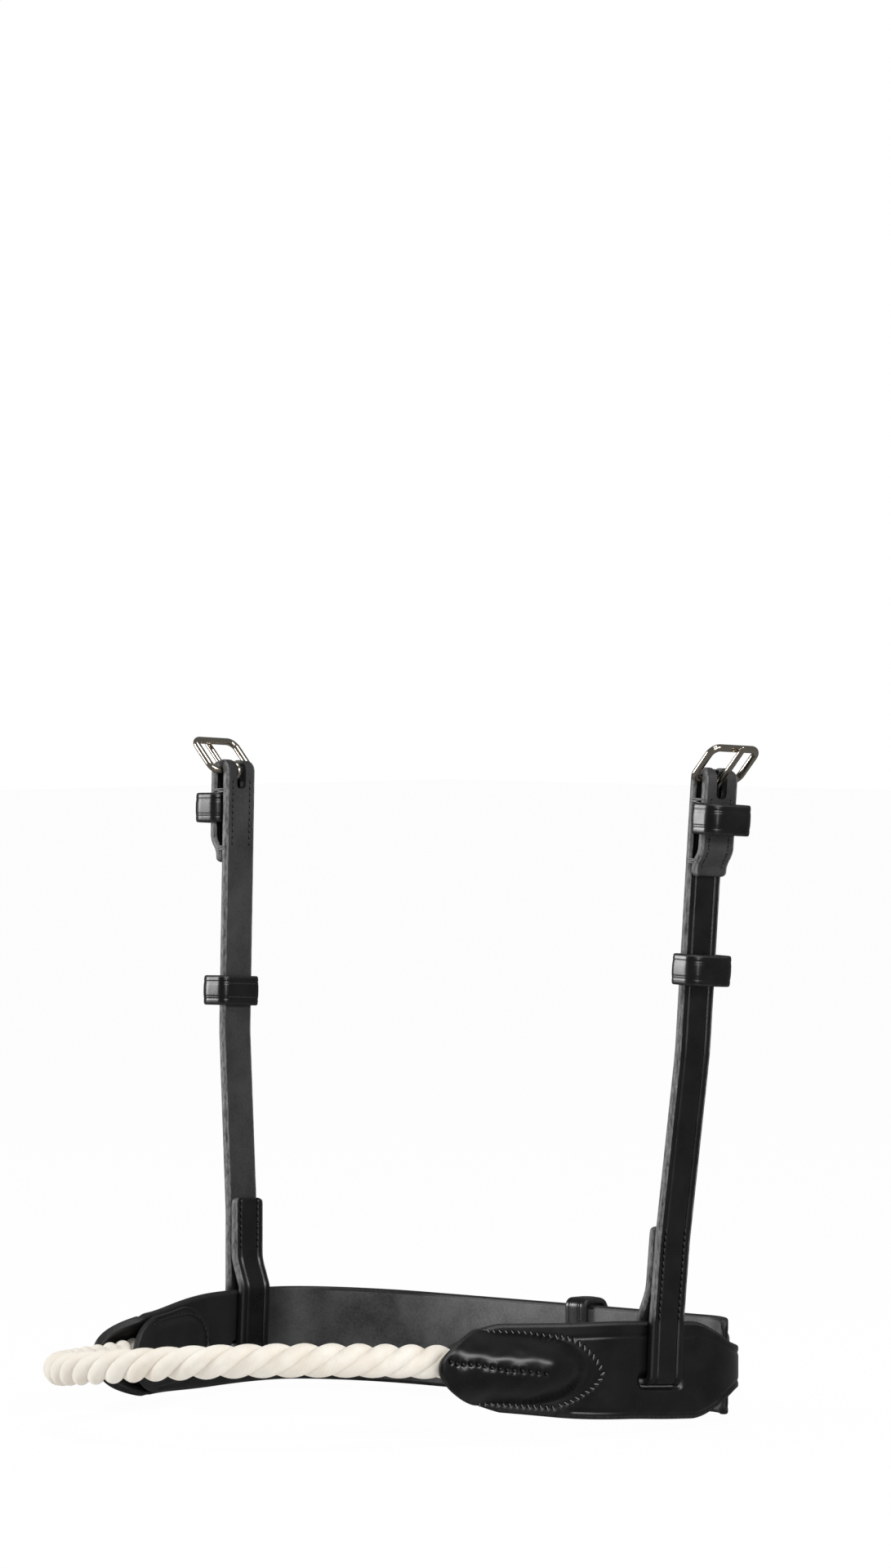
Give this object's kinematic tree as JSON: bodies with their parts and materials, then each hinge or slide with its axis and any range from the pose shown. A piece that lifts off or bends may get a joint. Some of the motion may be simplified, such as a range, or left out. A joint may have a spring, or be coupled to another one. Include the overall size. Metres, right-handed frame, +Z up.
{
  "type": "bridle noseband",
  "caption": "Rope-front noseband: a twisted rope in moulded leather side bands with buckled hangers, a buckled rear strap and leather keepers.",
  "frame": {"origin": "midway between the two hanger slots, at half the height of the leather bands: the middle of the horse's nose", "axes": "+Z up along the hangers, +X to the near (left) side of the horse, -Y to the nose tip"},
  "size_m": [0.2514, 0.2134, 0.2214],
  "materials": {
    "rope_strand_1": "cream twisted cotton",
    "rope_strand_2": "cream twisted cotton",
    "rope_strand_3": "cream twisted cotton",
    "near_band": "black bridle leather, waxed satin",
    "off_band": "black bridle leather, waxed satin",
    "near_rope_lining": "black bridle leather, waxed satin",
    "off_rope_lining": "black bridle leather, waxed satin",
    "rear_buckle_chape": "black bridle leather, waxed satin",
    "rear_fixed_keeper": "black bridle leather, waxed satin",
    "near_hanger_strap": "black bridle leather, waxed satin",
    "near_hanger_fixed_keeper": "black bridle leather, waxed satin",
    "near_hanger_buckle_frame": "polished stainless steel",
    "near_hanger_buckle_tongue": "polished stainless steel",
    "near_hanger_running_keeper": "black bridle leather, waxed satin",
    "off_hanger_strap": "black bridle leather, waxed satin",
    "off_hanger_fixed_keeper": "black bridle leather, waxed satin",
    "off_hanger_buckle_frame": "polished stainless steel",
    "off_hanger_buckle_tongue": "polished stainless steel",
    "off_hanger_running_keeper": "black bridle leather, waxed satin",
    "rear_buckle_frame": "polished stainless steel",
    "rear_buckle_tongue": "polished stainless steel",
    "rear_running_keeper": "black bridle leather, waxed satin"
  },
  "bodies": {
    "ring": {"rope_strand_1": "rope_strand_1", "rope_strand_2": "rope_strand_2", "rope_strand_3": "rope_strand_3", "near_band": "near_band", "off_band": "off_band", "near_rope_lining": "near_rope_lining", "off_rope_lining": "off_rope_lining", "rear_buckle_chape": "rear_buckle_chape", "rear_fixed_keeper": "rear_fixed_keeper"},
    "near_hanger": {"near_hanger_strap": "near_hanger_strap", "near_hanger_fixed_keeper": "near_hanger_fixed_keeper"},
    "near_frame": {"near_hanger_buckle_frame": "near_hanger_buckle_frame"},
    "near_tongue": {"near_hanger_buckle_tongue": "near_hanger_buckle_tongue"},
    "near_running_keeper": {"near_hanger_running_keeper": "near_hanger_running_keeper"},
    "off_hanger": {"off_hanger_strap": "off_hanger_strap", "off_hanger_fixed_keeper": "off_hanger_fixed_keeper"},
    "off_frame": {"off_hanger_buckle_frame": "off_hanger_buckle_frame"},
    "off_tongue": {"off_hanger_buckle_tongue": "off_hanger_buckle_tongue"},
    "off_running_keeper": {"off_hanger_running_keeper": "off_hanger_running_keeper"},
    "rear_frame": {"rear_buckle_frame": "rear_buckle_frame"},
    "rear_tongue": {"rear_buckle_tongue": "rear_buckle_tongue"},
    "rear_running_keeper": {"rear_running_keeper": "rear_running_keeper"}
  },
  "joints": [
    {"name": "near_hanger_swing", "type": "hinge", "parent": "ring", "child": "near_hanger", "pos_m": [0.096, 0, -0.00299], "axis": [0.9976, -0.0698, 0], "range_deg": [-4, 4]},
    {"name": "near_buckle_tilt", "type": "hinge", "parent": "near_hanger", "child": "near_frame", "pos_m": [0.11179, 0.0094, 0.19052], "axis": [0.0697, 0.9961, -0.0541], "range_deg": [-60, 20]},
    {"name": "near_tongue_turn", "type": "hinge", "parent": "near_frame", "child": "near_tongue", "pos_m": [0.11179, 0.0094, 0.19052], "axis": [0.0697, 0.9961, -0.0541], "range_deg": [0, 40]},
    {"name": "near_running_keeper_slide", "type": "slide", "parent": "near_hanger", "child": "near_running_keeper", "axis": [0.0299, 0.0521, 0.9982], "range_m": [-0.015, 0.02]},
    {"name": "off_hanger_swing", "type": "hinge", "parent": "ring", "child": "off_hanger", "pos_m": [-0.096, 0, -0.00394], "axis": [-0.9976, -0.0698, 0], "range_deg": [-4, 4]},
    {"name": "off_buckle_tilt", "type": "hinge", "parent": "off_hanger", "child": "off_frame", "pos_m": [-0.11179, 0.0094, 0.18958], "axis": [0.0697, -0.9961, 0.0541], "range_deg": [-60, 20]},
    {"name": "off_tongue_turn", "type": "hinge", "parent": "off_frame", "child": "off_tongue", "pos_m": [-0.11179, 0.0094, 0.18958], "axis": [0.0697, -0.9961, 0.0541], "range_deg": [0, 40]},
    {"name": "off_running_keeper_slide", "type": "slide", "parent": "off_hanger", "child": "off_running_keeper", "axis": [-0.0299, 0.0521, 0.9982], "range_m": [-0.003, 0.033]},
    {"name": "rear_buckle_tilt", "type": "hinge", "parent": "ring", "child": "rear_frame", "pos_m": [0.062, 0.0489, -0.00125], "axis": [0, 0, 1], "range_deg": [-1, 3]},
    {"name": "rear_tongue_turn", "type": "hinge", "parent": "rear_frame", "child": "rear_tongue", "pos_m": [0.062, 0.0489, -0.00125], "axis": [0, 0, 1], "range_deg": [0, 4]},
    {"name": "rear_running_keeper_slide", "type": "slide", "parent": "ring", "child": "rear_running_keeper", "axis": [0.9997, 0.0262, 0], "range_m": [-0.03, 0]}
  ]
}
